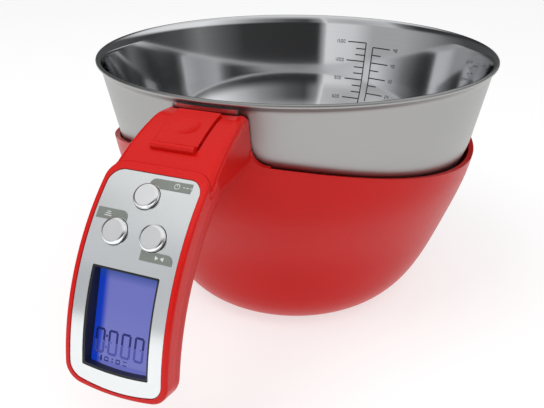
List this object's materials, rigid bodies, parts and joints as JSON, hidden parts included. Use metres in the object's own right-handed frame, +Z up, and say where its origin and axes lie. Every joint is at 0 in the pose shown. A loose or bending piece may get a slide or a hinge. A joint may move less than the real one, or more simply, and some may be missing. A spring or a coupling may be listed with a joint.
{
  "type": "kitchen scale",
  "caption": "Kitchen scale with a round steel bowl seated in a red moulded base, and a curved handle that carries the display, buttons and bowl latch.",
  "frame": {"origin": "on the bowl's axis, at the level of the feet's undersides", "axes": "+Z up along the bowl's axis; the handle points toward -Y; +X is the user's right when the handle faces them"},
  "size_m": [0.2, 0.273, 0.13],
  "materials": {
    "steel_bowl": "satin outside, polished inside",
    "steel_bracket": "satin",
    "red_shell": "glossy red",
    "red_front": "glossy red",
    "silver_fascia": "silver, satin",
    "grey_tags": "printed grey",
    "red_latch": "glossy red",
    "black_hook": "matte",
    "spring_steel": "bare",
    "board_green": "circuit board",
    "switch_black": "matte",
    "lcd_screen": "lit blue display",
    "backlight_white": "light guide",
    "frame_black": "matte",
    "zebra_rubber": "matte",
    "main_board_green": "circuit board",
    "handle_screw_steel": "bare",
    "black_cover": "matte",
    "cover_screw_steel": "bare",
    "foot_rubber": "matte",
    "cap_plastic": "matte",
    "cell_steel": "satin",
    "contact_brass": "bare",
    "roof_plastic": "matte",
    "cell_aluminium": "machined",
    "cell_screw_steel": "bare",
    "platform_plastic": "matte",
    "platform_screw_steel": "bare",
    "flex_film": "polyimide film",
    "button_chrome_zero": "bright",
    "button_chrome_mode": "bright",
    "button_chrome_unit": "bright"
  },
  "bodies": {
    "scale_base": {"outer_shell": "red_shell", "handle_front": "red_front", "fascia": "silver_fascia", "label_tags": "grey_tags", "button_board": "board_green", "tact_switches": "switch_black", "lcd_glass": "lcd_screen", "lcd_backlight": "backlight_white", "lcd_frame": "frame_black", "zebra_strip": "zebra_rubber", "main_board": "main_board_green", "handle_screws": "handle_screw_steel", "base_cover": "black_cover", "cover_screws": "cover_screw_steel", "rubber_feet": "foot_rubber", "coin_cell": "cell_steel", "battery_contacts": "contact_brass", "battery_roof": "roof_plastic", "load_cell": "cell_aluminium", "load_cell_screws": "cell_screw_steel", "flex_cable": "flex_film"},
    "platform": {"platform": "platform_plastic", "platform_screws": "platform_screw_steel"},
    "bowl": {"bowl": "steel_bowl", "bowl_bracket": "steel_bracket"},
    "latch": {"latch_button": "red_latch", "latch_hook": "black_hook", "latch_spring": "spring_steel"},
    "zero_button": {"zero_button": "button_chrome_zero"},
    "mode_button": {"mode_button": "button_chrome_mode"},
    "unit_button": {"unit_button": "button_chrome_unit"},
    "battery_cap": {"battery_cap": "cap_plastic"}
  },
  "joints": [
    {"name": "platform_flex", "type": "slide", "parent": "scale_base", "child": "platform", "axis": [0, 0, -1], "range_m": [0, 0.0005], "stiffness_N_per_m": 8000, "springref_m": -0.0006},
    {"name": "bowl_lift", "type": "slide", "parent": "platform", "child": "bowl", "axis": [0, 0, 1], "range_m": [0, 0.11]},
    {"name": "latch_slide", "type": "hinge", "parent": "scale_base", "child": "latch", "pos_m": [0, -0.0799, 0.0361], "axis": [1, 0, 0], "range_deg": [0, 1.9], "stiffness_Nm_per_rad": 5, "springref_deg": -0.57},
    {"name": "zero_button_press", "type": "slide", "parent": "scale_base", "child": "zero_button", "axis": [0, 0.6674, -0.7447], "range_m": [0, 0.0008], "stiffness_N_per_m": 1500},
    {"name": "mode_button_press", "type": "slide", "parent": "scale_base", "child": "mode_button", "axis": [0, 0.7758, -0.631], "range_m": [0, 0.0008], "stiffness_N_per_m": 1500},
    {"name": "unit_button_press", "type": "slide", "parent": "scale_base", "child": "unit_button", "axis": [0, 0.7744, -0.6327], "range_m": [0, 0.0008], "stiffness_N_per_m": 1500},
    {"name": "battery_cap_turn", "type": "hinge", "parent": "scale_base", "child": "battery_cap", "pos_m": [0, 0.026, 0.003], "axis": [0, 0, 1], "range_deg": [0, 60]}
  ]
}
